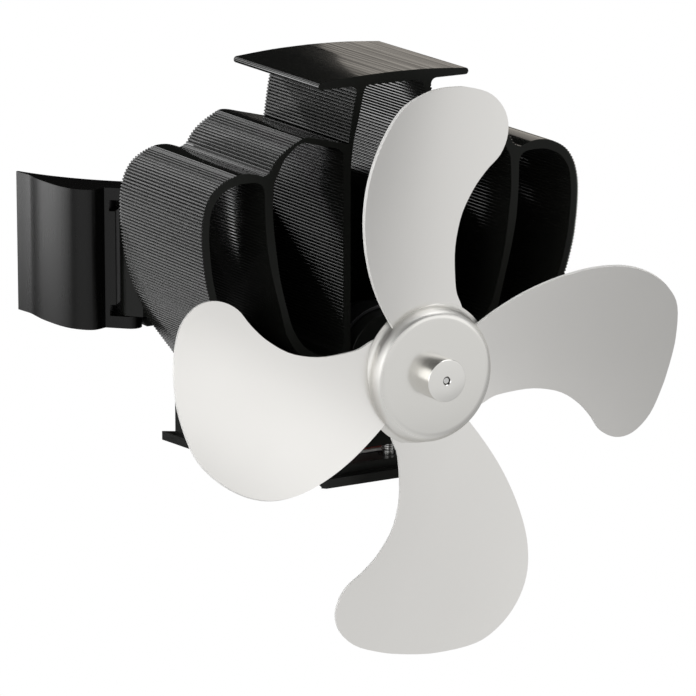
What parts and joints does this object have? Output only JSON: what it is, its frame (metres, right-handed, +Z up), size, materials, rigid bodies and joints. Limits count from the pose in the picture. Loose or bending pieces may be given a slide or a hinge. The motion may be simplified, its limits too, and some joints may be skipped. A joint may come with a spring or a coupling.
{
  "type": "flue pipe stove fan",
  "caption": "Heat-powered stove fan on a finned black heat sink, with a curved pipe saddle, two hinged magnetic wings and a silver four-blade rotor.",
  "frame": {"origin": "the middle of the hollow pipe saddle's face, halfway up the hinged wings, where the part touches the flue pipe", "axes": "+Z up, +Y into the pipe, so the fan faces -Y, and +X to the right of someone who faces the blades"},
  "size_m": [0.1798, 0.1403, 0.1816],
  "materials": {
    "heat_sink": "black anodised, satin",
    "fan_blades": "satin silver",
    "hub_boss": "turned, bright",
    "bright_steel": "zinc plated",
    "dark_steel": "black oxide",
    "black_coated": "black anodised, satin",
    "wing": "black anodised, smooth satin",
    "heat_polymer": "heat-proof moulding",
    "bronze": "sintered",
    "copper": "wound copper",
    "ferrite": "pressed ferrite",
    "ceramic": "fired ceramic",
    "red_sealant": "silicone edge seal",
    "graphite": "graphite foil",
    "magnet_plate": "nickel plated",
    "red_sleeve": "silicone sleeve",
    "black_sleeve": "silicone sleeve"
  },
  "bodies": {
    "stove_body": {"heat_sink": "heat_sink", "motor_can": "black_coated", "motor_end_cap": "heat_polymer", "motor_clip": "dark_steel", "motor_bearing_front": "bronze", "motor_bearing_rear": "bronze", "motor_magnet_upper": "ferrite", "motor_magnet_lower": "ferrite", "motor_terminal_right": "bronze", "motor_terminal_left": "bronze", "hot_thermal_pad": "graphite", "teg_hot_plate": "ceramic", "teg_core": "red_sealant", "teg_cold_plate": "ceramic", "cold_thermal_pad": "graphite", "lead_red": "red_sleeve", "lead_black": "black_sleeve", "base_foot": "black_coated", "clamp_screw_front": "bright_steel", "spring_washer_front": "bright_steel", "insulating_bush_front": "heat_polymer", "clamp_screw_back": "bright_steel", "spring_washer_back": "bright_steel", "insulating_bush_back": "heat_polymer", "pipe_saddle": "black_coated", "saddle_screw_right": "dark_steel", "saddle_screw_left": "dark_steel", "hinge_pin_right": "dark_steel", "hinge_pin_left": "dark_steel"},
    "rotor": {"fan_blades": "fan_blades", "hub_boss": "hub_boss", "hub_nut": "bright_steel", "grub_screw_right": "dark_steel", "grub_screw_left": "dark_steel", "motor_shaft": "bright_steel", "motor_armature": "copper", "motor_commutator": "copper"},
    "right_wing": {"wing_right": "wing", "magnet_right_upper": "magnet_plate", "magnet_right_lower": "magnet_plate"},
    "left_wing": {"wing_left": "wing", "magnet_left_upper": "magnet_plate", "magnet_left_lower": "magnet_plate"}
  },
  "joints": [
    {"name": "fan_spin", "type": "hinge", "parent": "stove_body", "child": "rotor", "pos_m": [0, -0.08, -0.0265], "axis": [0, 1, 0], "continuous": true},
    {"name": "right_wing_hinge", "type": "hinge", "parent": "stove_body", "child": "right_wing", "pos_m": [0.0575, 0.0065, 0], "axis": [0, 0, -1], "range_deg": [-25, 45]},
    {"name": "left_wing_hinge", "type": "hinge", "parent": "stove_body", "child": "left_wing", "pos_m": [-0.0575, 0.0065, 0], "axis": [0, 0, 1], "range_deg": [-25, 45]}
  ]
}
